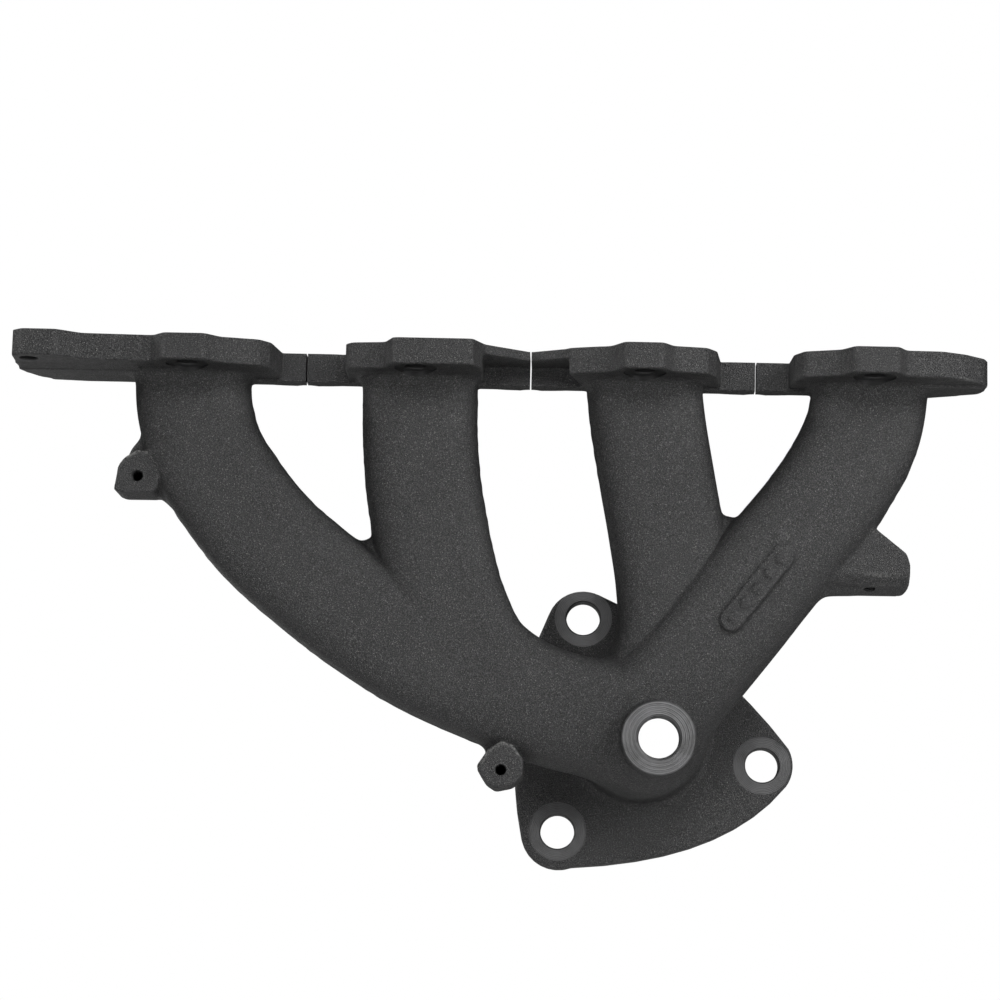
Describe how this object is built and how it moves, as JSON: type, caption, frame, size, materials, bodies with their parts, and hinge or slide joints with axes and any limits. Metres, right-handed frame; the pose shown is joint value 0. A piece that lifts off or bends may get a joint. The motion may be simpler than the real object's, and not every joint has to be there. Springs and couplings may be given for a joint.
{
  "type": "exhaust manifold",
  "caption": "Cast-iron exhaust manifold with slit head flange, curved runners merging into a collector, sensor boss and rear outlet flange.",
  "frame": {"origin": "on the head-flange mating face, at the middle saw slit, on the line of port centres", "axes": "+X along the cylinder head (long way), +Z the outward normal of the head mating face, -Y the front, the side the sensor boss faces, +Y towards the outlet flange's mating face"},
  "size_m": [0.411, 0.093, 0.2152],
  "materials": {
    "head_flange_1": "machined on the head face, as-cast elsewhere",
    "head_flange_2": "machined on the head face, as-cast elsewhere",
    "head_flange_3": "machined on the head face, as-cast elsewhere",
    "head_flange_4": "machined on the head face, as-cast elsewhere",
    "runner_1": "as-cast, fine grain, dark grey",
    "runner_2": "as-cast, fine grain, dark grey",
    "runner_3": "as-cast, fine grain, dark grey",
    "runner_4": "as-cast, fine grain, dark grey",
    "branch_left": "as-cast, fine grain, dark grey",
    "branch_right": "as-cast, fine grain, dark grey",
    "collector": "as-cast, fine grain, dark grey",
    "outlet_flange": "as-cast, fine grain, dark grey",
    "sensor_boss": "turned bare iron face",
    "shield_boss_left": "as-cast, fine grain, dark grey",
    "shield_boss_lower": "as-cast, fine grain, dark grey",
    "bracket_boss": "as-cast, fine grain, dark grey",
    "casting_mark": "as-cast, fine grain, dark grey"
  },
  "bodies": {
    "root": {"head_flange_1": "head_flange_1", "head_flange_2": "head_flange_2", "head_flange_3": "head_flange_3", "head_flange_4": "head_flange_4", "runner_1": "runner_1", "runner_2": "runner_2", "runner_3": "runner_3", "runner_4": "runner_4", "branch_left": "branch_left", "branch_right": "branch_right", "collector": "collector", "outlet_flange": "outlet_flange", "sensor_boss": "sensor_boss", "shield_boss_left": "shield_boss_left", "shield_boss_lower": "shield_boss_lower", "bracket_boss": "bracket_boss", "casting_mark": "casting_mark"}
  },
  "joints": []
}
